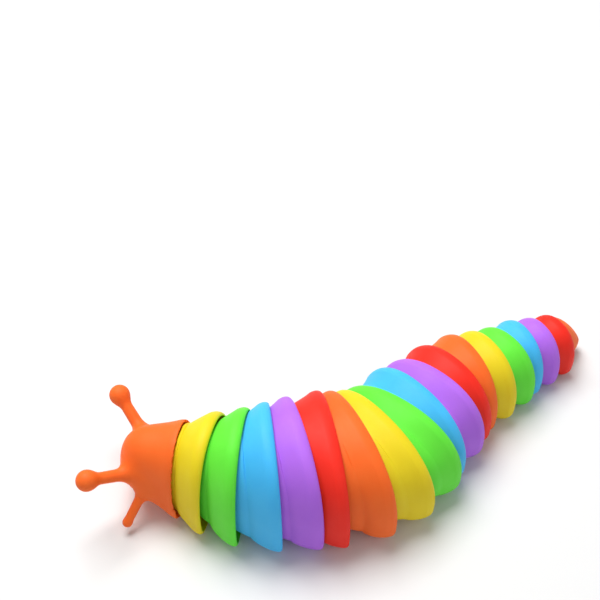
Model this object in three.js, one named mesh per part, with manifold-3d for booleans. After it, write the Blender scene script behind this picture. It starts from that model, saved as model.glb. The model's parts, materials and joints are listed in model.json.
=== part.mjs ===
// Articulated fidget slug: a head, seventeen body rings and a tail, each a moulded plastic cup whose
// rear rim overlaps the front of the next one. Behind each rim an eye is pinned between two posts of
// the next segment, so that every segment turns about an upright hinge pin.
// Millimetres. The head points to -X, the tail to +X, +Z is up and the soles lie on z = 0.
import * as THREE from "three";
import { mergeVertices } from "three/addons/utils/BufferGeometryUtils.js";
import Module from "manifold-3d";

const wasm = await Module();
wasm.setup();

// ---- Driving dimensions -------------------------------------------------------------------------

const RING_COUNT = 17;
const TAIL = RING_COUNT + 1;
// Size along the body at [segment number, millimetres] stations: the head is 0 and the tail is 18.
const HALF_WIDTH = [[0, 15], [3, 21.9], [6, 24.9], [9, 21], [13, 15], [17, 10]];
const HEIGHT = [[0, 31], [3, 36.2], [7, 29], [11, 26.5], [17, 18]];
const PITCH = [[1, 9], [6, 8.7], [12, 8], [18, 6.7]];
// Turn of each segment from the one before it in the stored pose, in degrees, head to tail.
const REST_YAW = [-3, 7, 13, 8, -4, 14, 13, 14, -11, 8, -8, -14, 3, 8, -13, 3, 4, -15];
const HEAD_HEADING = -10;
// The front rings grow fast from one to the next, so their rims meet a little sooner.
const YAW_LIMIT = 15;
const FRONT_YAW_LIMIT = 13;
const FRONT_RINGS = 5;
const ROOT_SEGMENT = 7;

const WALL = 1.1;
// Where a band is drawn in for the rim before it, its wall may be this thin.
const THIN_WALL = 0.75;
// A front is narrower than the rim that covers it by the wall, a gap, a share of the width and a
// share of how much that rim has grown from the one before. It is lower by the wall and the crown gap.
// The fronts of the front rings turn less far, and need less of a gap.
const GAP = 1.4;
const GAP_SHARE = 0.045;
const GROWTH_SHARE = 1.05;
const FRONT_GAP = 1.2;
const FRONT_GROWTH_SHARE = 0.5;
const CROWN_GAP = 0.7;
const SOLE_GAP = 1.7;
// Slope of the front's sole under the rim that covers it.
const FRONT_RISE = 0.65;
// Each ring stands on a flat strip of sole along its rim.
const SOLE_STRIP = 2.4;
const RIM_ROUND = 1.5;
const RIM_DROP = 0.8;
const SWELL = 1.4;
const BAND_SHARES = [0, 0.2, 0.4, 0.6];
const OVERLAP_AT_CROWN = 0.7;
const CROWN_HALF = 3;
// The front reaches this many degrees further under the rim than the hinge turns.
const EDGE_MARGIN = 3;
// Where a rim swings over the band behind it, the band is drawn in to clear it by this much.
const RIM_CLEARANCE = 0.55;
const RIM_NEAR = 0.9;
const RELIEF_LEAD = 0.9;
const LIMIT_MARGIN = 0.3;
const LEAST_SHARE = 0.8;
const SHARE_STEP = 0.004;
// The hollow is cut past the edges that it opens through.
const FRONT_CUT = 2;
const MOUTH_CUT = 0.5;

// A section is a squarish dome on a flat sole: exponents of its upper and lower superellipse.
const DOME_POWER = 2.2;
const SOLE_POWER = 3.6;
const SOLE_CUT = 1.1;
const WIDEST_AT = 0.27;

const HINGE_Z = 8.5;
const PIN_RADIUS = 1;
const BORE_RADIUS = 1.3;
const POST_RADIUS = 2;
const EYE_HALF = 1.2;
const EYE_GAP = 0.35;
const LUG_HEIGHT = 2;
const PLATE = 1.2;
const TONGUE_HALF_WIDTH = 1.5;
const PIN_HEAD_RADIUS = 1.5;
const PIN_HEAD_THICK = 0.5;
// Room around each pin's head and above its tip.
const PIN_CLEARANCE = 0.3;
const PIN_CHAMFER = 0.3;

const HEAD_LENGTH = 19.5;
const CAVITY_LENGTH = 16;
const FACE_CENTRE_Z = 13.8;
// The head flares toward its rim and closes in a rounded face.
const HEAD_TAPER = 0.32;
const FLARE_POWER = 2.5;
const FACE_POWER = 5;
const HEAD_SHARES = [0.995, 0.95, 0.86, 0.72, 0.5, 0.28];
const CAVITY_SHARES = [0.97, 0.8, 0.5, 0.25, 0];
const HEAD_EDGE_DROP = 0.3;
const EYE_STALK = { base: [-12.5, 5, 14.5], tip: [-24.1, 14.6, 22.9], ball: 3.2, neck: 1.75, root: 4.2 };
const FEELER = { base: [-9.5, 7, 13.5], tip: [-15.4, 16.1, 3.9], ball: 1.35, neck: 1.25, root: 2.9 };
// A stalk's flare meets its straight neck at this share of its length.
const FLARE_SHARE = 0.6;
const STALK_BEND = 0.4;
const TAIL_LENGTH = 10;
const TAIL_TIP_Z = 4;
const TAIL_POWER = 1.6;
const TAIL_ROUND = 0.8;
const TAIL_SHARES = [0, 0.2, 0.4, 0.6, 0.8, 0.93, 0.99];

const SIDES = 20;
const ROUND_SIDES = 8;
const PROFILE_STEPS = 5;
const PIN_COLOUR = 0xd8d8d4;

const COLOURS = {
  orange: 0xff6a2b,
  yellow: 0xf0de32,
  green: 0x6fe64b,
  blue: 0x4cb8f5,
  purple: 0xb173ee,
  red: 0xf7321f,
};
const COLOUR_ORDER = Object.keys(COLOURS);

const radians = THREE.MathUtils.degToRad;

// ---- Sizes of one segment -----------------------------------------------------------------------

function sizeAt(stations, index) {
  const places = stations.map(([place]) => place);
  const values = stations.map(([, value]) => value);
  return new THREE.CubicInterpolant(places, values, 1).evaluate(index)[0];
}

function rimSize(index) {
  const last = Math.min(index, RING_COUNT);
  return { halfWidth: sizeAt(HALF_WIDTH, last), top: sizeAt(HEIGHT, last), bottom: 0 };
}

// A section moved inward by an even distance, as a wall or a clearance does.
function inset(size, distance) {
  return {
    halfWidth: size.halfWidth - distance,
    top: size.top - distance,
    bottom: size.bottom + distance,
  };
}

function segmentSizes(index) {
  const cover = rimSize(index - 1);
  const growth = Math.max(0, cover.halfWidth - rimSize(Math.max(0, index - 2)).halfWidth);
  const isFront = index <= FRONT_RINGS;
  const gap = isFront
    ? FRONT_GAP + FRONT_GROWTH_SHARE * growth
    : GAP + GAP_SHARE * cover.halfWidth + GROWTH_SHARE * growth;
  const limit = isFront ? FRONT_YAW_LIMIT : YAW_LIMIT;
  return {
    pitch: sizeAt(PITCH, index),
    swing: radians(limit + LIMIT_MARGIN),
    rim: rimSize(index),
    // The front is the part that turns inside the rim of the segment before.
    front: {
      halfWidth: cover.halfWidth - WALL - gap,
      top: cover.top - WALL - CROWN_GAP,
      bottom: WALL + SOLE_GAP,
    },
    mouth: inset(cover, WALL),
  };
}

// ---- Sections -----------------------------------------------------------------------------------

function signedPower(value, power) {
  return Math.sign(value) * Math.abs(value) ** power;
}

function widestZ(size) {
  return size.bottom + WIDEST_AT * (size.top - size.bottom);
}

// The section as a closed loop of [y, z], from the +Y side over the crown and back along the sole.
function sectionLoop(size) {
  const middle = widestZ(size);
  const loop = [];
  for (let side = 0; side < SIDES; side += 1) {
    const angle = (2 * Math.PI * side) / SIDES;
    const rise = Math.sin(angle);
    const power = rise > 0 ? 2 / DOME_POWER : 2 / SOLE_POWER;
    const reach = rise > 0 ? size.top - middle : SOLE_CUT * (middle - size.bottom);
    const y = size.halfWidth * signedPower(Math.cos(angle), power);
    const z = Math.max(size.bottom, middle + reach * signedPower(rise, power));
    loop.push([y, z]);
  }
  return loop;
}

function isInside(size, y, z) {
  const middle = widestZ(size);
  const power = z > middle ? DOME_POWER : SOLE_POWER;
  const reach = z > middle ? size.top - middle : SOLE_CUT * (middle - size.bottom);
  const spread = Math.abs(y / size.halfWidth) ** power + Math.abs((z - middle) / reach) ** power;
  return spread <= 1 && z >= size.bottom;
}

function blend(from, to, share) {
  return {
    halfWidth: THREE.MathUtils.lerp(from.halfWidth, to.halfWidth, share),
    top: THREE.MathUtils.lerp(from.top, to.top, share),
    bottom: THREE.MathUtils.lerp(from.bottom, to.bottom, share),
  };
}

// The outside of a segment at x behind its hinge line: a swelling band, and ahead of the rim that
// covers it a front that is turned about the hinge, so that its clearance never changes.
function bandSize(sizes, x) {
  const { pitch, rim, front } = sizes;
  if (x < -pitch) {
    const shrink = Math.sqrt((x + pitch / 2) ** 2 - (pitch / 2) ** 2);
    const middle = widestZ(front);
    const fall = (1 - (shrink / front.halfWidth) ** DOME_POWER) ** (1 / DOME_POWER);
    return {
      halfWidth: Math.sqrt(front.halfWidth ** 2 - shrink ** 2),
      top: middle + (front.top - middle) * fall,
      bottom: front.bottom - FRONT_RISE * (x + pitch),
    };
  }
  const along = 1 + x / pitch;
  const band = blend(front, rim, 1 - (1 - along) ** SWELL);
  const pastRound = Math.max(0, x + RIM_ROUND) / RIM_ROUND;
  const rounded = inset(band, RIM_DROP * (1 - Math.sqrt(1 - pastRound ** 2)));
  const lift = Math.max(0, -x - SOLE_STRIP) / (pitch - SOLE_STRIP);
  return { ...rounded, bottom: front.bottom * lift ** SWELL };
}

// Draws a point of the band in until the rim of the segment before can swing over it.
function clearOfRim(sizes, x, y, z) {
  const { pitch, mouth, swing } = sizes;
  const ahead = -(x + pitch / 2);
  const reached = ahead * Math.cos(swing) + Math.abs(y) * Math.sin(swing) > pitch / 2 - RIM_NEAR;
  if (!reached || x < -pitch || x >= -RIM_ROUND) {
    return [y, z];
  }
  const clear = inset(mouth, RIM_CLEARANCE);
  const middle = widestZ(mouth);
  let scale = 1;
  let point = [y, z];
  const turned = () => Math.sqrt(Math.max(0, point[0] ** 2 + ahead ** 2 - (pitch / 2) ** 2));
  while (scale > LEAST_SHARE && !isInside(clear, turned(), point[1])) {
    scale -= SHARE_STEP;
    point = [y * scale, middle + (z - middle) * scale];
  }
  return point;
}

// ---- Solids -------------------------------------------------------------------------------------

function solidOf(geometry) {
  const bare = geometry.index ? geometry.clone() : geometry;
  bare.deleteAttribute("normal");
  bare.deleteAttribute("uv");
  const merged = mergeVertices(bare, 1e-4);
  const vertProperties = new Float32Array(merged.attributes.position.array);
  const triVerts = new Uint32Array(merged.index.array);
  return new wasm.Manifold(new wasm.Mesh({ numProp: 3, vertProperties, triVerts }));
}

function geometryOf(solid) {
  const { vertProperties, triVerts } = solid.getMesh();
  const geometry = new THREE.BufferGeometry();
  geometry.setAttribute("position", new THREE.BufferAttribute(new Float32Array(vertProperties), 3));
  geometry.setIndex(new THREE.BufferAttribute(new Uint32Array(triVerts), 1));
  geometry.computeVertexNormals();
  return geometry;
}

// A closed solid through loops of [x, y, z] points, front to rear, with a fan over each end.
function loftSolid(loops) {
  const positions = loops.flat(2);
  const indices = [];
  for (let row = 0; row + 1 < loops.length; row += 1) {
    for (let side = 0; side < SIDES; side += 1) {
      const here = row * SIDES + side;
      const next = row * SIDES + ((side + 1) % SIDES);
      indices.push(here, next, here + SIDES, next, next + SIDES, here + SIDES);
    }
  }
  for (const [row, flip] of [[0, true], [loops.length - 1, false]]) {
    const centre = new THREE.Vector3();
    loops[row].forEach((point) => centre.add(new THREE.Vector3(...point)));
    centre.divideScalar(SIDES);
    const tip = positions.length / 3;
    positions.push(centre.x, centre.y, centre.z);
    for (let side = 0; side < SIDES; side += 1) {
      const here = row * SIDES + side;
      const next = row * SIDES + ((side + 1) % SIDES);
      indices.push(...(flip ? [tip, next, here] : [tip, here, next]));
    }
  }
  const geometry = new THREE.BufferGeometry();
  geometry.setAttribute("position", new THREE.BufferAttribute(new Float32Array(positions), 3));
  geometry.setIndex(indices);
  return solidOf(geometry);
}

function uprightCylinder(radius, x, fromZ, toZ) {
  const geometry = new THREE.CylinderGeometry(radius, radius, toZ - fromZ, ROUND_SIDES);
  geometry.rotateX(Math.PI / 2);
  geometry.rotateZ(Math.PI / ROUND_SIDES);
  geometry.translate(x, 0, (fromZ + toZ) / 2);
  return solidOf(geometry);
}

function block(fromX, toX, halfWidth, fromZ, toZ) {
  const geometry = new THREE.BoxGeometry(toX - fromX, 2 * halfWidth, toZ - fromZ);
  geometry.translate((fromX + toX) / 2, 0, (fromZ + toZ) / 2);
  return solidOf(geometry);
}

// ---- Hinge --------------------------------------------------------------------------------------

// The eye behind a segment, on the hinge line of the next one, with the tongue that carries it.
function tongue(fromX, hingeX) {
  const bar = block(fromX, hingeX, TONGUE_HALF_WIDTH, HINGE_Z - EYE_HALF, HINGE_Z + EYE_HALF);
  const eye = uprightCylinder(POST_RADIUS, hingeX, HINGE_Z - EYE_HALF, HINGE_Z + EYE_HALF);
  const bore = uprightCylinder(BORE_RADIUS, hingeX, HINGE_Z - 2 * EYE_HALF, HINGE_Z + 2 * EYE_HALF);
  return bar.add(eye).subtract(bore);
}

// The two posts that hold the pin, above and below the eye of the segment before.
function posts(hingeX, topZ) {
  const lower = uprightCylinder(POST_RADIUS, hingeX, -1, HINGE_Z - EYE_HALF - EYE_GAP);
  const upper = uprightCylinder(POST_RADIUS, hingeX, HINGE_Z + EYE_HALF + EYE_GAP, topZ);
  return lower.add(upper);
}

// The C-shaped bracket that joins the posts behind the eye.
function bracket(hingeX) {
  const inner = EYE_HALF + EYE_GAP;
  const outer = inner + LUG_HEIGHT;
  const plateX = hingeX + POST_RADIUS + EYE_GAP;
  const lowArm = block(hingeX, plateX + PLATE, POST_RADIUS, HINGE_Z - outer, HINGE_Z - inner);
  const highArm = block(hingeX, plateX + PLATE, POST_RADIUS, HINGE_Z + inner, HINGE_Z + outer);
  const plate = block(plateX, plateX + PLATE, POST_RADIUS, HINGE_Z - outer, HINGE_Z + outer);
  return lowArm.add(highArm).add(plate);
}

function pinTop() {
  return HINGE_Z + EYE_HALF + EYE_GAP + LUG_HEIGHT;
}

// The bore for the pin, open at the sole, and the recess for the head of the pin.
function pinBore(hingeX, soleZ) {
  const shaft = uprightCylinder(BORE_RADIUS, hingeX, -1, pinTop() + PIN_CLEARANCE);
  const recessTop = soleZ + PIN_HEAD_THICK + 2 * PIN_CLEARANCE;
  return shaft.add(uprightCylinder(PIN_HEAD_RADIUS + PIN_CLEARANCE, hingeX, -1, recessTop));
}

function pinGeometry(soleZ) {
  const headBottom = soleZ + PIN_CLEARANCE;
  const headTop = headBottom + PIN_HEAD_THICK;
  const profile = [
    [0, headBottom],
    [PIN_HEAD_RADIUS - PIN_CHAMFER, headBottom],
    [PIN_HEAD_RADIUS, headBottom + PIN_CHAMFER],
    [PIN_HEAD_RADIUS, headTop],
    [PIN_RADIUS, headTop],
    [PIN_RADIUS, pinTop() - PIN_CHAMFER],
    [PIN_RADIUS - PIN_CHAMFER, pinTop()],
    [0, pinTop()],
  ];
  const points = profile.map(([radius, z]) => new THREE.Vector2(radius, z));
  const geometry = new THREE.LatheGeometry(points, ROUND_SIDES);
  geometry.rotateX(Math.PI / 2);
  return geometryOf(solidOf(geometry));
}

// ---- Body rings ---------------------------------------------------------------------------------

// The front edge runs further under the rim toward the sides, where the rim swings further.
function frontEdge(sizes, y) {
  const aside = Math.max(0, Math.abs(y) - CROWN_HALF);
  return -sizes.pitch - OVERLAP_AT_CROWN - aside * Math.tan(sizes.swing + radians(EDGE_MARGIN));
}

function frontLoop(sizes) {
  return sectionLoop(sizes.front).map(([y], side) => {
    const x = frontEdge(sizes, y);
    return [x, ...sectionLoop(bandSize(sizes, x))[side]];
  });
}

function outerLoops(sizes) {
  const stations = BAND_SHARES.map((share) => (share - 1) * sizes.pitch);
  stations.push(-RIM_ROUND - RELIEF_LEAD, -RIM_ROUND, 0);
  const shown = stations.map((x) =>
    sectionLoop(bandSize(sizes, x)).map(([y, z]) => [x, ...clearOfRim(sizes, x, y, z)])
  );
  return [frontLoop(sizes), ...shown];
}

function innerLoops(sizes) {
  const thinner = (x) => {
    const outside = bandSize(sizes, x);
    const middle = widestZ(outside);
    return sectionLoop(outside).map(([y, z]) => {
      const [clearY, clearZ] = clearOfRim(sizes, x, y, z);
      const reach = Math.hypot(y, z - middle);
      const drawnIn = reach - Math.hypot(clearY, clearZ - middle);
      const share = 1 - Math.max(WALL, drawnIn + THIN_WALL) / reach;
      return [y * share, middle + (z - middle) * share];
    });
  };
  const lead = sectionLoop(sizes.front).map(([y], side) => {
    const x = frontEdge(sizes, y);
    return [x - FRONT_CUT, ...thinner(x)[side]];
  });
  const stations = [-sizes.pitch, -sizes.pitch / 2, -RIM_ROUND - RELIEF_LEAD, -RIM_ROUND];
  const middleLoops = stations.map((x) => thinner(x).map(([y, z]) => [x, y, z]));
  const mouth = sectionLoop(inset(sizes.rim, WALL));
  return [lead, ...middleLoops, mouth.map(([y, z]) => [MOUTH_CUT, y, z])];
}

function soleHeight(sizes, x) {
  return bandSize(sizes, x).bottom;
}

function ringSolid(index) {
  const sizes = segmentSizes(index);
  const hingeX = -sizes.pitch / 2;
  const nextHingeX = sizeAt(PITCH, index + 1) / 2;
  const hollow = loftSolid(innerLoops(sizes)).subtract(posts(hingeX, sizes.rim.top));
  const shell = loftSolid(outerLoops(sizes)).subtract(hollow);
  const plateX = hingeX + POST_RADIUS + EYE_GAP;
  return shell
    .add(bracket(hingeX))
    .add(tongue(plateX, nextHingeX))
    .subtract(pinBore(hingeX, soleHeight(sizes, hingeX)));
}

// ---- Head ---------------------------------------------------------------------------------------

// The head narrows to a rounded face whose middle lies higher than that of the rim.
function headSize(x, length, wall) {
  const rim = rimSize(0);
  const along = Math.min(1, -x / length);
  const flare = 1 - HEAD_TAPER * (1 - (1 - along) ** FLARE_POWER);
  const share = flare * (1 - along ** FACE_POWER) ** (1 / DOME_POWER);
  const middle = THREE.MathUtils.lerp(widestZ(rim), FACE_CENTRE_Z, along);
  return {
    halfWidth: (rim.halfWidth - wall) * share,
    top: middle + (rim.top - wall - widestZ(rim)) * share,
    bottom: middle - (widestZ(rim) - rim.bottom - wall) * share,
  };
}

function headLoops(stations, length, wall) {
  return stations.map((x) => sectionLoop(headSize(x, length, wall)).map(([y, z]) => [x, y, z]));
}

// A stalk or feeler that flares into the head and ends in a ball.
function stalkSolid({ base, tip, ball, neck, root }, side) {
  const from = new THREE.Vector3(base[0], side * base[1], base[2]);
  const to = new THREE.Vector3(tip[0], side * tip[1], tip[2]);
  const length = from.distanceTo(to);
  const joint = Math.sqrt(ball ** 2 - neck ** 2);
  const outline = new THREE.Path();
  outline.moveTo(0, 0);
  outline.lineTo(root, 0);
  outline.quadraticCurveTo(neck, length * STALK_BEND, neck, length * FLARE_SHARE);
  outline.lineTo(neck, length - joint);
  outline.absarc(0, length, ball, -Math.atan2(joint, neck), Math.PI / 2, false);
  const points = outline.getPoints(PROFILE_STEPS);
  points[points.length - 1].x = 0;
  const geometry = new THREE.LatheGeometry(points, ROUND_SIDES);
  const along = to.sub(from).normalize();
  const turn = new THREE.Quaternion().setFromUnitVectors(new THREE.Vector3(0, 1, 0), along);
  geometry.applyQuaternion(turn);
  geometry.translate(from.x, from.y, from.z);
  return solidOf(geometry);
}

function headSolid() {
  const stations = HEAD_SHARES.map((share) => -share * HEAD_LENGTH);
  const loops = headLoops([...stations, -RIM_ROUND], HEAD_LENGTH, 0);
  loops.push(...headLoops([-RIM_ROUND / 3], HEAD_LENGTH, HEAD_EDGE_DROP));
  loops.push(...headLoops([0], HEAD_LENGTH, RIM_DROP));
  let solid = loftSolid(loops);
  for (const side of [-1, 1]) {
    solid = solid.add(stalkSolid(EYE_STALK, side)).add(stalkSolid(FEELER, side));
  }
  const cavity = CAVITY_SHARES.map((share) => -share * CAVITY_LENGTH);
  const hollow = headLoops(cavity, CAVITY_LENGTH, WALL);
  hollow.push(sectionLoop(inset(rimSize(0), WALL)).map(([y, z]) => [MOUTH_CUT, y, z]));
  const nextHingeX = sizeAt(PITCH, 1) / 2;
  const spineEnd = POST_RADIUS + EYE_GAP + PLATE - nextHingeX;
  const spineHalf = EYE_HALF + EYE_GAP + LUG_HEIGHT;
  const spine = block(-HEAD_LENGTH, spineEnd, POST_RADIUS, HINGE_Z - spineHalf, HINGE_Z + spineHalf);
  return solid
    .subtract(loftSolid(hollow).subtract(spine))
    .add(tongue(spineEnd - PLATE, nextHingeX));
}

// ---- Tail ---------------------------------------------------------------------------------------

function tailSize(sizes, x) {
  if (x < -sizes.pitch) {
    return bandSize(sizes, x);
  }
  const along = (x + sizes.pitch) / TAIL_LENGTH;
  const share = (1 - along ** TAIL_POWER) ** TAIL_ROUND;
  const middle = THREE.MathUtils.lerp(widestZ(sizes.front), TAIL_TIP_Z, along);
  return {
    halfWidth: sizes.front.halfWidth * share,
    top: middle + (sizes.front.top - widestZ(sizes.front)) * share,
    bottom: middle - (widestZ(sizes.front) - sizes.front.bottom) * share,
  };
}

function tailSolid() {
  const sizes = segmentSizes(TAIL);
  const hingeX = -sizes.pitch / 2;
  const loops = TAIL_SHARES.map((share) => {
    const x = share * TAIL_LENGTH - sizes.pitch;
    return sectionLoop(tailSize(sizes, x)).map(([y, z]) => [x, y, z]);
  });
  const inside = (x) => sectionLoop(inset(tailSize(sizes, x), WALL));
  const lead = sectionLoop(sizes.front).map(([y], side) => [
    frontEdge(sizes, y) - FRONT_CUT,
    ...inside(-sizes.pitch)[side],
  ]);
  const hollow = [-sizes.pitch, hingeX].map((x) => inside(x).map(([y, z]) => [x, y, z]));
  const cavity = loftSolid([lead, ...hollow]).subtract(posts(hingeX, sizes.rim.top));
  const slotLow = HINGE_Z - EYE_HALF - EYE_GAP;
  const slotHigh = HINGE_Z + EYE_HALF + EYE_GAP;
  const slot = uprightCylinder(POST_RADIUS + EYE_GAP, hingeX, slotLow, slotHigh);
  return loftSolid([frontLoop(sizes), ...loops])
    .subtract(cavity)
    .subtract(slot)
    .subtract(pinBore(hingeX, tailSize(sizes, hingeX).bottom));
}

// ---- Assembly -----------------------------------------------------------------------------------

function colourOf(index) {
  return COLOUR_ORDER[index % COLOUR_ORDER.length];
}

function segmentName(index) {
  if (index === 0) {
    return "head";
  }
  return index === TAIL ? "tail" : `ring_${String(index).padStart(2, "0")}`;
}

function plastic(colour) {
  return new THREE.MeshStandardMaterial({ color: COLOURS[colour], roughness: 0.5, metalness: 0 });
}

function segmentSolid(index) {
  if (index === 0) {
    return headSolid();
  }
  return index === TAIL ? tailSolid() : ringSolid(index);
}

function segmentMesh(index) {
  const mesh = new THREE.Mesh(geometryOf(segmentSolid(index)), plastic(colourOf(index)));
  mesh.name = segmentName(index);
  return mesh;
}

function pinMesh(index) {
  const sizes = segmentSizes(index);
  const hingeX = -sizes.pitch / 2;
  const sole = index === TAIL ? tailSize(sizes, hingeX).bottom : soleHeight(sizes, hingeX);
  const material = new THREE.MeshStandardMaterial({ color: PIN_COLOUR, roughness: 0.35, metalness: 0 });
  const mesh = new THREE.Mesh(pinGeometry(sole), material);
  mesh.name = `pin_${String(index).padStart(2, "0")}`;
  mesh.position.x = hingeX;
  return mesh;
}

const slug = new THREE.Group();
const segments = [];
for (let index = 0; index <= TAIL; index += 1) {
  const segment = new THREE.Group();
  segment.add(segmentMesh(index));
  if (index === 0) {
    segment.rotation.z = radians(HEAD_HEADING);
    slug.add(segment);
  } else {
    const pitch = sizeAt(PITCH, index);
    const hinge = new THREE.Group();
    hinge.position.x = pitch / 2;
    hinge.rotation.z = radians(REST_YAW[index - 1]);
    segment.position.x = pitch / 2;
    segment.add(pinMesh(index));
    hinge.add(segment);
    segments.at(-1).add(hinge);
  }
  segments.push(segment);
}

// The middle of the root ring's sole strip stands on the origin.
slug.updateMatrixWorld(true);
slug.position.sub(segments[ROOT_SEGMENT].localToWorld(new THREE.Vector3(-SOLE_STRIP / 2, 0, 0)));

export default slug;
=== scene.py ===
"""The looks of the articulated fidget slug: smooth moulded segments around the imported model's hinges."""

import json
import math

import bmesh
import bpy
import numpy as np
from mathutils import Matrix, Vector


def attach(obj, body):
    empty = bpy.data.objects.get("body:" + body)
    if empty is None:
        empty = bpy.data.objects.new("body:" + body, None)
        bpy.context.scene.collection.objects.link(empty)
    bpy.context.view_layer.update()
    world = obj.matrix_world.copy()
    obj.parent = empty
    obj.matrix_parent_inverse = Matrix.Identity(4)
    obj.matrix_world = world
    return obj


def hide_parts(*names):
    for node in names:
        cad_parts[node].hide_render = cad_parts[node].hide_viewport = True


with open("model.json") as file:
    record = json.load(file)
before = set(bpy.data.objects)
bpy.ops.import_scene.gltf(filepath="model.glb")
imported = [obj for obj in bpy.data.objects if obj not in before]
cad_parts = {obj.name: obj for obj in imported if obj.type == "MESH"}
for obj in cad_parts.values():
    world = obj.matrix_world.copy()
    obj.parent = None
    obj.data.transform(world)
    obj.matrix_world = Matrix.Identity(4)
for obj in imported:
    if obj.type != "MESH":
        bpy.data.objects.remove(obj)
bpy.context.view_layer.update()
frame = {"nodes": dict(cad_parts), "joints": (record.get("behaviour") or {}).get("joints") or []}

# Lengths in the shape functions are millimetres, in a segment's own frame: x runs rearward from the
# plane of its rim, z up from the floor. Objects are made in metres.
MM = 0.001
RINGS = 17
TAIL = RINGS + 1
COLOURS = ["orange", "yellow", "green", "blue", "purple", "red"]

# ---- Shape of the moulded segments -------------------------------------------------------------------

WALL = 1.1
# Wall of a band behind its rim.
THIN_WALL = 0.7
# Gap between a front and the rim that covers it: a length, a share of the rim's half width and a share
# of how much the rim has grown. The fronts of the front rings turn less far, and have their own gap.
GAP = 1.4
GAP_SHARE = 0.045
GROWTH_SHARE = 1.05
FRONT_RINGS = 5
FRONT_GAP = 1.2
FRONT_GROWTH_SHARE = 0.5
CROWN_GAP = 0.7
SOLE_GAP = 1.7
SOLE_STRIP = 2.4
# The rim's edge turns in by the drop, over the last stretch of the band.
RIM_ROUND = 3.4
RIM_DROP = 1.5
RIM_LIP = 0.05
# How far a band swells beyond its plain outline before its rim turns in.
FULLNESS = 0.5
SWELL = 2
OVERLAP_AT_CROWN = 0.7
CROWN_HALF = 3
FRONT_RISE = 0.65
DOME_POWER = 2.2
SOLE_POWER = 3.6
SOLE_CUT = 1.1
SOLE_SOFTNESS = 1.6
WIDEST_AT = 0.27

# Room that the rim of the segment before keeps as it swings, and the soft slope that leads out of it.
SWING_ROOM = 0.4
LEAD_OUT = 1
LEAD_SOFTNESS = 3.5
RELIEF_SOFTNESS = 0.14
# Least and greatest share of its distance from the middle that a relieved point keeps.
SHARE_RANGE = (0.6, 1.6)
SHARE_STEPS = 14
# How much further than the swing limit a front reaches under its rim.
FRONT_MARGIN = math.radians(3.3)

HINGE_Z = 8.5
BORE_RADIUS = 1.2
POST_RADIUS = 2
EYE_HALF = 1.2
EYE_GAP = 0.35
LUG_HEIGHT = 2
PLATE = 1.2
TONGUE_HALF_WIDTH = 1.5
PIN_RADIUS = 1
PIN_HEAD_RADIUS = 1.5
PIN_HEAD_THICK = 0.5
PIN_SINK = 0.3
PIN_CHAMFER = 0.35
BAR_SINK = 0.3
# Keeps faces of joined solids out of one plane.
HAIR = 0.01
# How far the posts stay under the outside of the roof.
ROOF_BITE = 0.8

HEAD_LENGTH = 19.5
CAVITY_LENGTH = 16
FACE_CENTRE_Z = 13.8
HEAD_TAPER = 0.32
FLARE_POWER = 2.5
FACE_POWER = 3.6
EYE_STALK = {"base": (-12.5, 5, 14.5), "tip": (-24.1, 15.5, 22.5), "ball": 3.1, "neck": 1.7, "web": 5.5}
FEELER = {"base": (-9.5, 7, 13.5), "tip": (-14.4, 16.1, 3.9), "ball": 1.35, "neck": 1.35, "web": 4.8}
TAIL_LENGTH = 10
TAIL_TIP_Z = 4
TAIL_POWER = 1.6
TAIL_ROUND = 0.8

# A segment's rim is looked for in the upper part of its own height, and the head's behind its stalks.
CROWN_SHARE = 0.75
HEAD_RIM_FROM_X = -9
HEAD_RIM_FROM_Z = 12

COLUMNS = 96
FRONT_ROWS = 6
BAND_ROWS = 20
RIM_ROWS = 10
INNER_ROWS = 9
INNER_FRONT_ROWS = 4
TAIL_ROWS = 18
TURNED_SIDES = 28
HEAD_CELL = 0.55
HEAD_BOX = ((-31, -22, -0.8), (1, 22, 33))


def segment_name(index):
    if index == 0:
        return "head"
    return "tail" if index == TAIL else f"ring_{index:02d}"


# ---- Where each segment is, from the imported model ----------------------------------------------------


def joint_of(index):
    return next(joint for joint in frame["joints"] if joint["name"] == f"hinge_{index:02d}")


def hinge_place(index):
    return np.array(joint_of(index)["pos_m"][:2]) / MM


def swing_limit(index):
    low, high = joint_of(index)["range_deg"]
    return math.radians((high - low) / 2)


def rest_turn(index):
    """Turn of a segment from the one before it in the stored pose."""
    joint = joint_of(index)
    middle = sum(joint["range_deg"]) / 2
    return math.radians(-middle if joint["child"] == segment_name(index) else middle)


def heading_of(index):
    if index == 0:
        return heading_of(1) - rest_turn(1)
    if index == TAIL:
        return heading_of(TAIL - 1) + rest_turn(TAIL)
    step = hinge_place(index + 1) - hinge_place(index)
    return math.atan2(step[1], step[0])


def local_vertices(name, centre, heading):
    """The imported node's corners, in millimetres, from a point on the floor and along a heading."""
    corners = np.array([vertex.co for vertex in frame["nodes"][name].data.vertices]) / MM
    shifted = corners - np.array([centre[0], centre[1], 0])
    c, s = math.cos(heading), math.sin(heading)
    along = shifted[:, 0] * c + shifted[:, 1] * s
    aside = shifted[:, 1] * c - shifted[:, 0] * s
    return np.stack([along, aside, shifted[:, 2]], 1)


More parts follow.
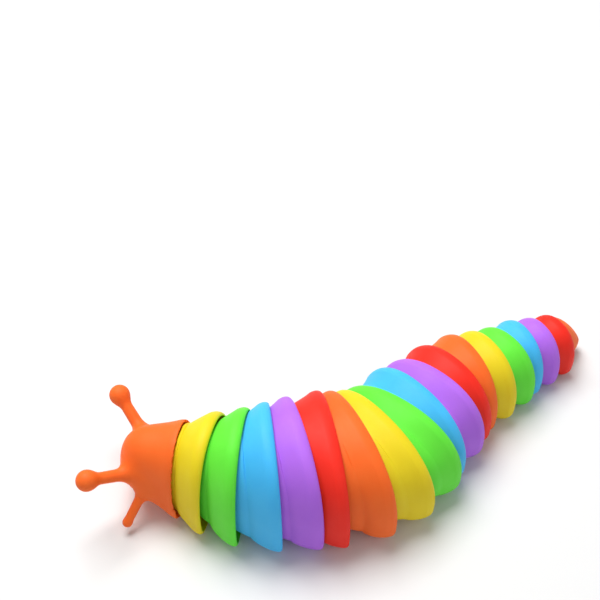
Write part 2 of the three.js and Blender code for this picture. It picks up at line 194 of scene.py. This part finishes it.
class Segment:
    """A segment's place, and the sizes of its rim and of the front that turns under the rim before."""

    def __init__(self, index, before):
        self.index = index
        self.name = segment_name(index)
        self.heading = heading_of(index)
        direction = np.array([math.cos(self.heading), math.sin(self.heading)])
        hinge = hinge_place(max(index, 1))
        corners = local_vertices(self.name, hinge, self.heading)
        crown = corners[corners[:, 2] > CROWN_SHARE * corners[:, 2].max()]
        if index == 0:
            behind = corners[:, 0] > HEAD_RIM_FROM_X
            crown = corners[behind & (corners[:, 2] > HEAD_RIM_FROM_Z)]
            self.centre = hinge + direction * crown[:, 0].max()
            self.rim = (np.abs(crown[:, 1]).max(), crown[:, 2].max(), 0.0)
            self.growth = 0
            return
        self.limit = swing_limit(index)
        if index == TAIL:
            self.pitch = 2 * np.linalg.norm(hinge - hinge_place(index - 1)) - before.pitch
        else:
            self.pitch = 2 * crown[:, 0].max()
            shell = corners[corners[:, 0] > 0]
            self.rim = (np.abs(shell[:, 1]).max(), crown[:, 2].max(), 0.0)
        self.centre = hinge + direction * self.pitch / 2
        if index <= FRONT_RINGS:
            gap = FRONT_GAP + FRONT_GROWTH_SHARE * before.growth
        else:
            gap = GAP + GAP_SHARE * before.rim[0] + GROWTH_SHARE * before.growth
        self.front = (before.rim[0] - WALL - gap, before.rim[1] - WALL - CROWN_GAP, WALL + SOLE_GAP)
        self.mouth = inset(before.rim, WALL)
        if index == TAIL:
            self.rim = self.front
        self.growth = max(0, self.rim[0] - before.rim[0])

    def to_world(self, points):
        """Points in the segment's frame, in millimetres, to the model's frame, in metres."""
        points = np.asarray(points, float)
        c, s = math.cos(self.heading), math.sin(self.heading)
        x = self.centre[0] + points[..., 0] * c - points[..., 1] * s
        y = self.centre[1] + points[..., 0] * s + points[..., 1] * c
        return np.stack([x, y, points[..., 2]], -1) * MM


# ---- Sections: a size is (half width, top, bottom) ----------------------------------------------------


def inset(size, distance):
    return size[0] - distance, size[1] - distance, size[2] + distance


def smooth_max(a, b, softness):
    overlap = np.maximum(softness - np.abs(a - b), 0) / softness
    return np.maximum(a, b) + overlap ** 2 * softness / 4


def smooth_min(a, b, softness):
    return -smooth_max(-a, -b, softness)


def widest_z(size):
    return size[2] + WIDEST_AT * (size[1] - size[2])


def signed_power(value, power):
    return np.sign(value) * np.abs(value) ** power


def section(size, angle):
    """The point of a section at an angle from the +Y side over the crown."""
    middle = widest_z(size)
    rise = np.sin(angle)
    power = np.where(rise > 0, 2 / DOME_POWER, 2 / SOLE_POWER)
    reach = np.where(rise > 0, size[1] - middle, SOLE_CUT * (middle - size[2]))
    y = size[0] * signed_power(np.cos(angle), power)
    z = middle + reach * signed_power(rise, power)
    return y, smooth_max(z, size[2] + 0 * z, SOLE_SOFTNESS)


def spread(size, y, z):
    """How far out a point is in a section: 1 on the outline."""
    middle = widest_z(size)
    power = np.where(z > middle, DOME_POWER, SOLE_POWER)
    reach = np.where(z > middle, size[1] - middle, SOLE_CUT * (middle - size[2]))
    return np.abs(y / size[0]) ** power + np.abs((z - middle) / reach) ** power


# ---- Body rings ---------------------------------------------------------------------------------------


def band_size(seg, x):
    """The outside at x: a swelling band, and ahead of it a front that is turned about the hinge."""
    along = np.clip(1 + x / seg.pitch, 0, 1)
    share = 1 - (1 - along) ** SWELL
    lift = np.maximum(0, -x - SOLE_STRIP) / (seg.pitch - SOLE_STRIP)
    band = [seg.front[k] + (seg.rim[k] - seg.front[k]) * share for k in range(2)]
    band.append(seg.front[2] * lift ** SWELL)
    ahead = np.maximum(0, (x + seg.pitch / 2) ** 2 - (seg.pitch / 2) ** 2)
    shrink = np.sqrt(ahead)
    middle = widest_z(seg.front)
    fall = (1 - np.minimum(shrink / seg.front[0], 0.98) ** DOME_POWER) ** (1 / DOME_POWER)
    turned = [
        np.sqrt(np.maximum(1, seg.front[0] ** 2 - ahead)),
        middle + (seg.front[1] - middle) * fall,
        seg.front[2] - FRONT_RISE * (x + seg.pitch),
    ]
    is_front = x < -seg.pitch
    return tuple(np.where(is_front, turned[k], band[k]) for k in range(3))


def relief(seg, x, y, z):
    """The share of its distance from the middle that a point keeps, so that the rim before can swing."""
    half = seg.pitch / 2
    ahead = -(x + half)
    clear = inset(seg.mouth, SWING_ROOM)
    middle = widest_z(seg.mouth)
    low, high = (np.full(np.shape(y), float(end)) for end in SHARE_RANGE)
    for _ in range(SHARE_STEPS):
        share = (low + high) / 2
        turned = np.sqrt(np.maximum(0, (y * share) ** 2 + ahead ** 2 - half ** 2))
        fits = spread(clear, turned, middle + (z - middle) * share) <= 1
        low, high = np.where(fits, share, low), np.where(fits, high, share)
    reach = np.hypot(y, z - middle)
    last = (np.abs(y) * math.sin(seg.limit) - half) / math.cos(seg.limit) - half
    allowed = low + LEAD_OUT * smooth_max(x - last, 0 * last, LEAD_SOFTNESS) / reach
    allowed = np.where(x < -seg.pitch, SHARE_RANGE[1], allowed)
    return smooth_min(allowed, 1 + 0 * allowed, RELIEF_SOFTNESS)


def above_floor(size):
    return size[0], size[1], np.maximum(size[2], 0)


def shell_row(seg, x, angle, depth):
    """Points of the shell at x, at a depth under the part's outside."""
    size = band_size(seg, x)
    share = relief(seg, x, *section(size, angle))
    middle = widest_z(seg.mouth)
    y, z = section(above_floor(inset(size, depth)), angle)
    return np.stack([x + 0 * y, y * share, middle + (z - middle) * share], -1)


def front_edge(seg, angle):
    """x of the front edge, which runs further under the rim toward the sides."""
    y, _ = section(seg.front, angle)
    aside = np.maximum(0, np.abs(y) - CROWN_HALF)
    return -seg.pitch - OVERLAP_AT_CROWN - aside * math.tan(seg.limit + FRONT_MARGIN)


def front_rows(seg, angle, depth, count):
    """Rows from the front edge to the line of the rim before."""
    edge = front_edge(seg, angle)
    shares = np.linspace(0, 1, count, endpoint=False)
    return [shell_row(seg, edge + (-seg.pitch - edge) * share, angle, depth) for share in shares]


def edge_rows(seg, angle):
    """The rounded front edge, from the inside to the outside."""
    edge = front_edge(seg, angle)
    rows = []
    for turn in np.linspace(0, math.pi, 6)[1:-1]:
        x = edge - WALL / 2 * math.sin(turn)
        rows.append(shell_row(seg, x, angle, WALL / 2 * (1 + math.cos(turn))))
    return rows


def ring_rows(seg):
    angle = (np.arange(COLUMNS) + 0.5) * 2 * math.pi / COLUMNS
    rows = front_rows(seg, angle, 0, FRONT_ROWS)
    for x in np.linspace(-seg.pitch, -RIM_ROUND, BAND_ROWS):
        swell = FULLNESS * ((seg.pitch + x) / (seg.pitch - RIM_ROUND)) ** 2
        rows.append(shell_row(seg, x + 0 * angle, angle, -swell))
    for turn in np.linspace(0, math.pi / 2, RIM_ROWS)[1:]:
        x = -RIM_ROUND + RIM_ROUND * math.sin(turn)
        depth = RIM_DROP * (1 - math.cos(turn)) - FULLNESS
        rows.append(shell_row(seg, x + 0 * angle, angle, depth))
    rows.append(shell_row(seg, -RIM_LIP + 0 * angle, angle, WALL))
    for x in np.linspace(-RIM_ROUND / 2, -seg.pitch, INNER_ROWS):
        rows.append(shell_row(seg, x + 0 * angle, angle, THIN_WALL))
    rows += list(reversed(front_rows(seg, angle, WALL, INNER_FRONT_ROWS)))
    rows += edge_rows(seg, angle)
    return np.array(rows)


# ---- Meshes -------------------------------------------------------------------------------------------


def mesh_object(name, points, faces):
    mesh = bpy.data.meshes.new(name)
    mesh.from_pydata([tuple(p) for p in points], [], faces)
    mesh.update()
    obj = bpy.data.objects.new(name, mesh)
    bpy.context.scene.collection.objects.link(obj)
    return obj


def grid_faces(rows, columns, closed):
    """Faces between rows of points that go round, and from the last row to the first if closed."""
    faces = []
    for row in range(rows if closed else rows - 1):
        following = (row + 1) % rows
        for column in range(columns):
            beside = (column + 1) % columns
            a, b = row * columns + column, row * columns + beside
            faces.append((a, b, following * columns + beside, following * columns + column))
    return faces


def combine(base, others, operation):
    """Joins closed meshes to the base, or cuts them from it, and removes them."""
    for other in others:
        cut = base.modifiers.new("combine", "BOOLEAN")
        cut.operation = operation
        cut.solver = "MANIFOLD"
        cut.object = other
    bpy.context.view_layer.update()
    result = bpy.data.meshes.new_from_object(base.evaluated_get(bpy.context.evaluated_depsgraph_get()))
    base.modifiers.clear()
    base.data = result
    for other in others:
        bpy.data.objects.remove(other)


def turned_solid(seg, x, profile):
    """A closed upright solid of revolution at x, from (radius, z) points that end on its axis."""
    bm = bmesh.new()
    rings = []
    for radius, z in profile:
        if radius == 0:
            rings.append([bm.verts.new((x, 0, z))])
            continue
        turns = [2 * math.pi * k / TURNED_SIDES for k in range(TURNED_SIDES)]
        rings.append([bm.verts.new((x + radius * math.cos(t), radius * math.sin(t), z)) for t in turns])
    for lower, upper in zip(rings, rings[1:]):
        for k in range(TURNED_SIDES):
            m = (k + 1) % TURNED_SIDES
            below = [lower[k % len(lower)], lower[m % len(lower)]]
            above = [upper[m % len(upper)], upper[k % len(upper)]]
            bm.faces.new(dict.fromkeys(below + above))
    return finish_solid(seg, bm, 0)


def block(seg, from_x, to_x, half_width, from_z, to_z, round_off=0.25):
    bm = bmesh.new()
    bmesh.ops.create_cube(bm, size=1)
    for vertex in bm.verts:
        vertex.co.x = from_x + (vertex.co.x + 0.5) * (to_x - from_x)
        vertex.co.y *= 2 * half_width
        vertex.co.z = from_z + (vertex.co.z + 0.5) * (to_z - from_z)
    return finish_solid(seg, bm, round_off)


def finish_solid(seg, bm, round_off):
    if round_off:
        bmesh.ops.bevel(bm, geom=bm.edges[:], offset=round_off, segments=2, affect="EDGES", profile=0.5)
    bmesh.ops.recalc_face_normals(bm, faces=bm.faces)
    world = seg.to_world(np.array([vertex.co for vertex in bm.verts]))
    for vertex, place in zip(bm.verts, world):
        vertex.co = place
    mesh = bpy.data.meshes.new("solid")
    bm.to_mesh(mesh)
    bm.free()
    obj = bpy.data.objects.new("solid", mesh)
    bpy.context.scene.collection.objects.link(obj)
    return obj


def cylinder(seg, x, radius, from_z, to_z):
    return turned_solid(seg, x, [(0, from_z), (radius, from_z), (radius, to_z), (0, to_z)])


def tongue(seg, from_x, hinge_x):
    """The bar and the eye that reach back to the next segment's pin."""
    low, high = HINGE_Z - EYE_HALF, HINGE_Z + EYE_HALF
    bar = block(seg, from_x, hinge_x, TONGUE_HALF_WIDTH, low, high)
    eye = cylinder(seg, hinge_x, POST_RADIUS, low - HAIR, high + HAIR)
    return [bar, eye]


def hinge_block(seg, hinge_x, floor_z, roof_z):
    """The posts that hold the pin, and the bracket that joins them behind the eye between them."""
    inner = EYE_HALF + EYE_GAP
    outer = inner + LUG_HEIGHT
    plate_x = hinge_x + POST_RADIUS + EYE_GAP
    end_x = plate_x + PLATE
    arm_half = POST_RADIUS - HAIR
    return [
        cylinder(seg, hinge_x, POST_RADIUS, floor_z, HINGE_Z - inner),
        cylinder(seg, hinge_x, POST_RADIUS, HINGE_Z + inner, roof_z),
        block(seg, hinge_x, end_x, arm_half, HINGE_Z - outer, HINGE_Z - inner - HAIR),
        block(seg, hinge_x, end_x, arm_half, HINGE_Z + inner + HAIR, HINGE_Z + outer),
        block(seg, plate_x, end_x - HAIR, POST_RADIUS, HINGE_Z - outer + HAIR, HINGE_Z + outer - HAIR),
    ]


def pin_cutters(seg, hinge_x, sole_z):
    top = HINGE_Z + EYE_HALF + EYE_GAP + LUG_HEIGHT + PIN_SINK
    bore = cylinder(seg, hinge_x, BORE_RADIUS, -2, top)
    recess_top = sole_z + PIN_HEAD_THICK + 2 * PIN_SINK
    recess = cylinder(seg, hinge_x, PIN_HEAD_RADIUS + PIN_SINK, -1.5, recess_top)
    return [bore, recess]


def ring_mesh(seg, next_hinge_x):
    rows = ring_rows(seg)
    points = seg.to_world(rows).reshape(-1, 3)
    obj = mesh_object(seg.name + "_moulding", points, grid_faces(len(rows), COLUMNS, True))
    hinge_x = -seg.pitch / 2
    size = [float(v) for v in band_size(seg, np.array(hinge_x))]
    roof_z = float(band_size(seg, np.array(hinge_x - POST_RADIUS))[1]) - ROOF_BITE
    plate_x = hinge_x + POST_RADIUS + EYE_GAP
    parts = hinge_block(seg, hinge_x, size[2] + WALL / 2, roof_z)
    parts += tongue(seg, plate_x + BAR_SINK, next_hinge_x)
    combine(obj, parts, "UNION")
    eye_bore = cylinder(seg, next_hinge_x, BORE_RADIUS, HINGE_Z - 2 * EYE_HALF, HINGE_Z + 2 * EYE_HALF)
    combine(obj, pin_cutters(seg, hinge_x, size[2]) + [eye_bore], "DIFFERENCE")
    return obj


def pin_mesh(seg, sole_z):
    low = sole_z + PIN_SINK
    head = low + PIN_HEAD_THICK
    top = HINGE_Z + EYE_HALF + EYE_GAP + LUG_HEIGHT
    profile = [
        (0, low), (PIN_HEAD_RADIUS - 0.3, low), (PIN_HEAD_RADIUS - 0.08, low + 0.08),
        (PIN_HEAD_RADIUS, low + 0.3), (PIN_HEAD_RADIUS, head - 0.1), (PIN_HEAD_RADIUS - 0.1, head),
        (PIN_RADIUS + 0.15, head), (PIN_RADIUS, head + 0.15), (PIN_RADIUS, top - PIN_CHAMFER),
        (PIN_RADIUS - 0.1, top - 0.1), (PIN_RADIUS - PIN_CHAMFER, top), (0, top),
    ]
    obj = turned_solid(seg, -seg.pitch / 2, profile)
    obj.name = f"pin_{seg.index:02d}_turned"
    return obj


# ---- Tail ---------------------------------------------------------------------------------------------


def tail_size(seg, x, depth):
    along = (x + seg.pitch) / TAIL_LENGTH
    share = (1 - min(along, 0.999) ** TAIL_POWER) ** TAIL_ROUND
    front_middle = widest_z(seg.front)
    middle = front_middle + (TAIL_TIP_Z - front_middle) * along
    half = max(0.05, seg.front[0] * share - depth)
    top = middle + max(0.05, (seg.front[1] - front_middle) * share - depth)
    bottom = middle - max(0.05, (front_middle - seg.front[2]) * share - depth)
    return half, top, bottom


def tail_row(seg, x, angle, depth):
    y, z = section(tail_size(seg, x, depth), angle)
    return np.stack([x + 0 * y, y, z], -1)


def tail_mesh(seg):
    angle = (np.arange(COLUMNS) + 0.5) * 2 * math.pi / COLUMNS
    edge = front_edge(seg, angle)
    rows = [tail_row(seg, -seg.pitch / 2, angle, WALL)]
    rows.append(tail_row(seg, -seg.pitch, angle, WALL))
    rows.append(shell_row(seg, edge, angle, WALL))
    rows += edge_rows(seg, angle)
    rows += front_rows(seg, angle, 0, FRONT_ROWS)
    for share in np.sin(np.linspace(0, math.pi / 2, TAIL_ROWS)):
        rows.append(tail_row(seg, share * TAIL_LENGTH * 0.999 - seg.pitch, angle, 0))
    rows = np.array(rows)
    points = seg.to_world(rows).reshape(-1, 3)
    count = len(rows)
    ends = seg.to_world(np.array([rows[0].mean(0), rows[-1].mean(0)]))
    faces = grid_faces(count, COLUMNS, False)
    first_end, last_row = count * COLUMNS, (count - 1) * COLUMNS
    for column in range(COLUMNS):
        beside = (column + 1) % COLUMNS
        faces.append((first_end, beside, column))
        faces.append((first_end + 1, last_row + column, last_row + beside))
    obj = mesh_object("tail_moulding", np.vstack([points, ends]), faces)
    hinge_x = -seg.pitch / 2
    inner = EYE_HALF + EYE_GAP
    floor_z = seg.front[2] + WALL / 2
    roof_z = tail_size(seg, hinge_x + POST_RADIUS, 0)[1] - ROOF_BITE
    posts = [
        cylinder(seg, hinge_x, POST_RADIUS, floor_z, HINGE_Z - inner),
        cylinder(seg, hinge_x, POST_RADIUS, HINGE_Z + inner, roof_z),
    ]
    combine(obj, posts, "UNION")
    slot = cylinder(seg, hinge_x, POST_RADIUS + EYE_GAP, HINGE_Z - inner, HINGE_Z + inner)
    combine(obj, [slot] + pin_cutters(seg, hinge_x, seg.front[2]), "DIFFERENCE")
    return obj


# ---- Head ---------------------------------------------------------------------------------------------


def head_size(seg, x, length, wall):
    along = np.clip(-x / length, 0, 0.9995)
    flare = 1 - HEAD_TAPER * (1 - (1 - along) ** FLARE_POWER)
    share = flare * (1 - along ** FACE_POWER) ** (1 / DOME_POWER)
    rim_middle = widest_z(seg.rim)
    middle = rim_middle + (FACE_CENTRE_Z - rim_middle) * along
    return (
        (seg.rim[0] - wall) * share,
        middle + (seg.rim[1] - wall - rim_middle) * share,
        middle - (rim_middle - wall) * share,
    )


def bowl_field(seg, points, length, wall):
    """A smooth measure that is 0 on the bowl's surface and grows outward, in about millimetres."""
    x = points[:, 0]
    size = head_size(seg, x, length, wall)
    middle = widest_z(size)
    out = spread(size, points[:, 1], points[:, 2]) ** (1 / DOME_POWER)
    reach = np.hypot(points[:, 1], points[:, 2] - middle)
    around = np.where(out > 0.01, reach * (1 - 1 / np.maximum(out, 0.01)), -size[0])
    beyond = -x - length
    return np.where(beyond > -0.01, np.maximum(around, beyond), np.minimum(around, 40))


def capsule_field(points, start, end, radius_start, radius_end):
    axis = end - start
    along = np.clip(((points - start) @ axis) / (axis @ axis), 0, 1)
    nearest = start + along[:, None] * axis
    radius = radius_start + (radius_end - radius_start) * along
    return np.linalg.norm(points - nearest, axis=1) - radius


def head_field(seg, points):
    """The head's outside: the bowl with its stalks and feelers webbed into it."""
    field = bowl_field(seg, points, HEAD_LENGTH, 0)
    for form in (FEELER, EYE_STALK):
        for side in (-1, 1):
            base = np.array(form["base"]) * [1, side, 1]
            tip = np.array(form["tip"]) * [1, side, 1]
            neck = capsule_field(points, base, tip, form["neck"] * 1.15, form["neck"])
            ball = np.linalg.norm(points - tip, axis=1) - form["ball"]
            stalk = smooth_min(neck, ball, form["ball"] * 0.6)
            field = smooth_min(field, stalk, form["web"])
    return field


def spine_field(seg, points):
    """The bracket that carries the tongue, along the middle of the head."""
    half = EYE_HALF + EYE_GAP + LUG_HEIGHT
    end = POST_RADIUS + EYE_GAP + PLATE - seg.reach
    aside = np.maximum(np.abs(points[:, 1]) - POST_RADIUS, np.abs(points[:, 2] - HINGE_Z) - half)
    return np.maximum(aside, points[:, 0] - end)


def hollow_field(seg, points):
    field = bowl_field(seg, points, CAVITY_LENGTH, WALL)
    mouth = spread(inset(seg.rim, WALL), points[:, 1], points[:, 2]) * 5 - 5
    return smooth_max(np.where(points[:, 0] > 0, mouth, field), -spine_field(seg, points), 0.4)


def whole_head_field(seg, points):
    outside = smooth_max(head_field(seg, points), points[:, 0], RIM_ROUND)
    outside = smooth_max(outside, -points[:, 2], 0.6)
    return smooth_max(outside, -hollow_field(seg, points), 0.5)


def settle_on_field(points, field, steps):
    """Moves points onto the surface where the field is 0."""
    small = 0.02
    for _ in range(steps):
        value = field(points)
        slope = np.stack([(field(points + offset) - field(points - offset)) / (2 * small)
                          for offset in np.eye(3) * small], 1)
        length = np.maximum(np.linalg.norm(slope, axis=1), 0.3)
        points = points - (np.clip(value / length, -0.4, 0.4) / length)[:, None] * slope
    return points


def field_mesh(field, low, high, step):
    """A closed mesh of the surface where the field is 0, from a grid of cells that straddle it."""
    axes = [np.arange(a, b + step, step) for a, b in zip(low, high)]
    shape = [len(axis) for axis in axes]
    grid = np.stack(np.meshgrid(*axes, indexing="ij"), -1).reshape(-1, 3)
    inside = (field(grid) < 0).reshape(shape)
    corner_of = -np.ones([n + 1 for n in shape], int)
    points, faces = [], []

    def corner(i, j, k):
        if corner_of[i, j, k] < 0:
            corner_of[i, j, k] = len(points)
            points.append([start + (n - 0.5) * step for start, n in zip(low, (i, j, k))])
        return corner_of[i, j, k]

    for axis in range(3):
        ahead = np.roll(inside, -1, axis)
        crossing = inside != ahead
        for i, j, k in np.argwhere(crossing):
            cell = [i, j, k]
            if cell[axis] == shape[axis] - 1:
                continue
            u, v = (axis + 1) % 3, (axis + 2) % 3
            square = []
            for du, dv in ((0, 0), (1, 0), (1, 1), (0, 1)):
                place = list(cell)
                place[axis] += 1
                place[u] += du
                place[v] += dv
                square.append(corner(*place))
            faces.append(square if inside[i, j, k] else square[::-1])
    return np.array(points), faces


def relax(points, faces, rounds):
    """Evens out a mesh: each point moves halfway to the mean of its neighbours."""
    edges = np.array([(f[n], f[(n + 1) % 4]) for f in faces for n in range(4)])
    for _ in range(rounds):
        total, count = np.zeros_like(points), np.zeros(len(points))
        for a, b in (edges.T, edges.T[::-1]):
            np.add.at(total, a, points[b])
            np.add.at(count, a, 1)
        points = points + 0.5 * (total / count[:, None] - points)
    return points


def head_mesh(seg):
    def field(points):
        return whole_head_field(seg, points)

    points, faces = field_mesh(field, *HEAD_BOX, HEAD_CELL)
    for _ in range(3):
        points = settle_on_field(relax(points, faces, 2), field, 3)
    points = settle_on_field(points, field, 3)
    obj = mesh_object("head_moulding", seg.to_world(points), faces)
    combine(obj, tongue(seg, POST_RADIUS + EYE_GAP - seg.reach, seg.reach), "UNION")
    combine(obj, [cylinder(seg, seg.reach, BORE_RADIUS, HINGE_Z - 3, HINGE_Z + 3)], "DIFFERENCE")
    return obj


# ---- Materials ----------------------------------------------------------------------------------------

# Base colours as linear light: a deep tone for thick, shaded plastic and a clear one for the surface.
PLASTICS = {
    "orange": ((0.93, 0.13, 0.012), (1.0, 0.18, 0.03)),
    "yellow": ((0.78, 0.59, 0.011), (0.86, 0.7, 0.018)),
    "green": ((0.11, 0.76, 0.04), (0.16, 0.86, 0.06)),
    "blue": ((0.05, 0.45, 0.88), (0.08, 0.56, 0.97)),
    "purple": ((0.42, 0.13, 0.78), (0.52, 0.18, 0.88)),
    "red": ((0.86, 0.02, 0.01), (0.97, 0.035, 0.018)),
}


def node(tree, kind, **inputs):
    made = tree.nodes.new(kind)
    for key, value in inputs.items():
        made.inputs[key.replace("_", " ")].default_value = value
    return made


def moulded_plastic(name, deep, clear):
    """Satin plastic: faint clouds of pigment, a fine moulded grain and light marks of handling."""
    material = bpy.data.materials.new(name)
    material.use_nodes = True
    tree = material.node_tree
    shader = tree.nodes["Principled BSDF"]
    link = tree.links.new
    place = tree.nodes.new("ShaderNodeTexCoord")

    clouds = node(tree, "ShaderNodeTexNoise", Scale=90, Detail=4, Roughness=0.55)
    link(place.outputs["Object"], clouds.inputs["Vector"])
    tone = tree.nodes.new("ShaderNodeMix")
    tone.data_type = "RGBA"
    tone.inputs["A"].default_value = (*deep, 1)
    tone.inputs["B"].default_value = (*clear, 1)
    link(clouds.outputs["Fac"], tone.inputs["Factor"])
    link(tone.outputs["Result"], shader.inputs["Base Color"])

    smears = node(tree, "ShaderNodeTexNoise", Scale=260, Detail=5, Roughness=0.6, Distortion=0.6)
    link(place.outputs["Object"], smears.inputs["Vector"])
    gloss = tree.nodes.new("ShaderNodeMapRange")
    gloss.inputs["To Min"].default_value = 0.48
    gloss.inputs["To Max"].default_value = 0.64
    link(smears.outputs["Fac"], gloss.inputs["Value"])
    link(gloss.outputs["Result"], shader.inputs["Roughness"])

    grain = node(tree, "ShaderNodeTexNoise", Scale=2600, Detail=3, Roughness=0.6)
    link(place.outputs["Object"], grain.inputs["Vector"])
    bump = node(tree, "ShaderNodeBump", Strength=0.12, Distance=0.00006)
    link(grain.outputs["Fac"], bump.inputs["Height"])
    link(bump.outputs["Normal"], shader.inputs["Normal"])

    shader.inputs["Specular IOR Level"].default_value = 0.2
    shader.inputs["Subsurface Weight"].default_value = 0.12
    shader.inputs["Subsurface Radius"].default_value = (1, 0.7, 0.5)
    shader.inputs["Subsurface Scale"].default_value = 0.0012
    return material


def paint(obj, material):
    obj.data.materials.clear()
    obj.data.materials.append(material)


def shade(obj):
    obj.data.shade_smooth()
    obj.data.set_sharp_from_angle(angle=math.radians(38))


# ---- The slug -----------------------------------------------------------------------------------------


def settle_piece(obj, body, replaced, material):
    shade(obj)
    paint(obj, material)
    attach(obj, body)
    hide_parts(replaced)


def build_slug():
    plastics = {name: moulded_plastic(name + "_plastic", *tones) for name, tones in PLASTICS.items()}
    pin_plastic = moulded_plastic("pin_plastic", (0.6, 0.6, 0.56), (0.72, 0.72, 0.69))
    segments = []
    for index in range(TAIL + 1):
        segments.append(Segment(index, segments[-1] if segments else None))
    head = segments[0]
    head.reach = segments[1].pitch / 2
    for seg in segments:
        colour = COLOURS[seg.index % len(COLOURS)]
        sole_z = seg.front[2] if seg.index == TAIL else None
        if seg.index == 0:
            piece = head_mesh(seg)
        elif seg.index == TAIL:
            piece = tail_mesh(seg)
        else:
            piece = ring_mesh(seg, segments[seg.index + 1].pitch / 2)
            sole_z = float(band_size(seg, np.array(-seg.pitch / 2))[2])
        settle_piece(piece, seg.name, seg.name, plastics[colour])
        if seg.index:
            settle_piece(pin_mesh(seg, sole_z), seg.name, f"pin_{seg.index:02d}", pin_plastic)


# ---- Floor, light and camera --------------------------------------------------------------------------

LOOK_AT = Vector((-0.0244, 0.0737, 0))
CAMERA_DISTANCE = 0.3494
CAMERA_RISE = math.radians(46.5)
LENS = 57.4


def floor():
    material = bpy.data.materials.new("pale_floor")
    material.use_nodes = True
    shader = material.node_tree.nodes["Principled BSDF"]
    shader.inputs["Base Color"].default_value = (0.8, 0.8, 0.8, 1)
    shader.inputs["Roughness"].default_value = 0.9
    obj = mesh_object("floor", [(-3, -3, 0), (3, -3, 0), (3, 3, 0), (-3, 3, 0)], [(0, 1, 2, 3)])
    obj.data.materials.append(material)


def soft_light(name, place, size, power):
    light = bpy.data.lights.new(name, "AREA")
    light.size = size
    light.energy = power
    obj = bpy.data.objects.new(name, light)
    obj.location = place
    obj.rotation_euler = (-Vector(place)).to_track_quat("-Z", "Y").to_euler()
    bpy.context.scene.collection.objects.link(obj)


def studio():
    floor()
    soft_light("key", (-0.2, 0.3, 0.8), 0.5, 8.4)
    soft_light("fill", (0.45, -0.45, 0.5), 0.7, 0.7)
    world = bpy.data.worlds.new("studio")
    world.use_nodes = True
    world.node_tree.nodes["Background"].inputs["Color"].default_value = (1, 1, 1, 1)
    world.node_tree.nodes["Background"].inputs["Strength"].default_value = 0.34
    bpy.context.scene.world = world
    bpy.context.scene.view_settings.view_transform = "Standard"


def camera():
    data = bpy.data.cameras.new("camera")
    data.lens = LENS
    data.clip_start = 0.01
    obj = bpy.data.objects.new("camera", data)
    back = Vector((0, -math.cos(CAMERA_RISE), math.sin(CAMERA_RISE)))
    obj.location = LOOK_AT + back * CAMERA_DISTANCE
    obj.rotation_euler = (-back).to_track_quat("-Z", "Y").to_euler()
    bpy.context.scene.collection.objects.link(obj)
    bpy.context.scene.camera = obj


camera()
studio()
build_slug()
